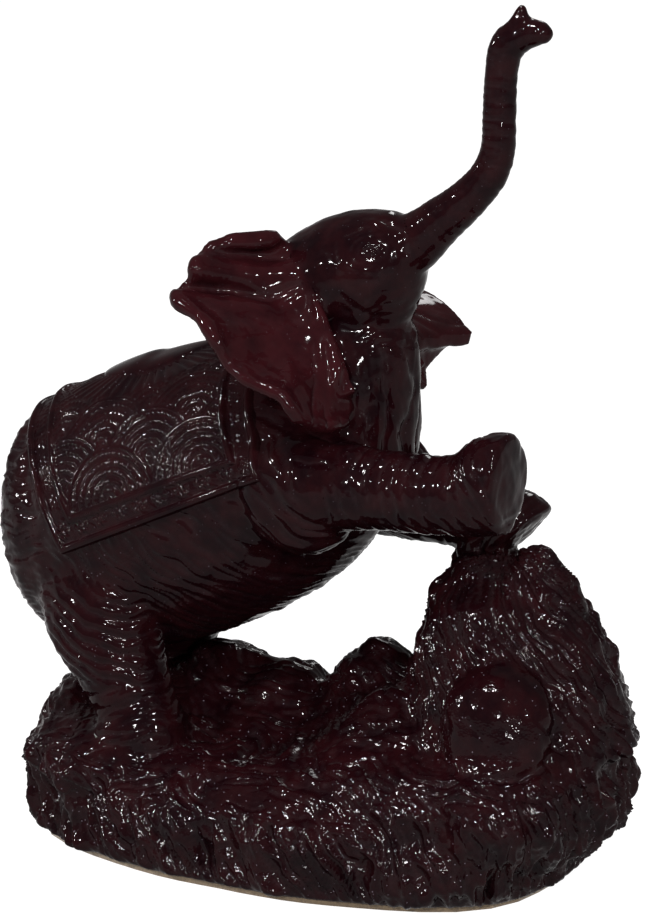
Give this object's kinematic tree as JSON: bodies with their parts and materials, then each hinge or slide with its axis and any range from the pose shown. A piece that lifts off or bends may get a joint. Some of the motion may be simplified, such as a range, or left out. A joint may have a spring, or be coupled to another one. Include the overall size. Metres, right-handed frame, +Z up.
{
  "type": "elephant figurine",
  "caption": "Glossy carved-look figurine of an elephant that rears over a boulder on a rocky plinth, with its trunk raised and a saddle cloth on its back.",
  "frame": {"origin": "under the middle of the figurine's bounding box, on the surface that the felt pad rests on", "axes": "+Z up, +X the way the elephant faces, +Y towards its left side"},
  "size_m": [0.1992, 0.107, 0.2447],
  "materials": {
    "casting": "polyresin casting in a dark rosewood colour under a high-gloss clear lacquer, with grey wax in the creases",
    "ear": "the same polyresin and lacquer, cast thin, so it looks a little redder",
    "felt": "brown felt",
    "steel": "plain wire"
  },
  "bodies": {
    "root": {"boulder": "casting", "plinth": "casting", "felt_pad": "felt", "torso": "casting", "head": "casting", "trunk": "casting", "ear_right": "ear", "ear_left": "ear", "foreleg_right": "casting", "foreleg_left": "casting", "hindleg_right": "casting", "hindleg_left": "casting", "tail": "casting", "neck_dowel": "steel", "trunk_dowel": "steel", "foreleg_dowel_right": "steel", "foreleg_dowel_left": "steel", "hindleg_dowel_right": "steel", "hindleg_dowel_left": "steel", "hind_foot_dowel_right": "steel", "hind_foot_dowel_left": "steel", "forefoot_dowel_left": "steel", "boulder_dowel_1": "steel", "boulder_dowel_2": "steel"}
  },
  "joints": []
}
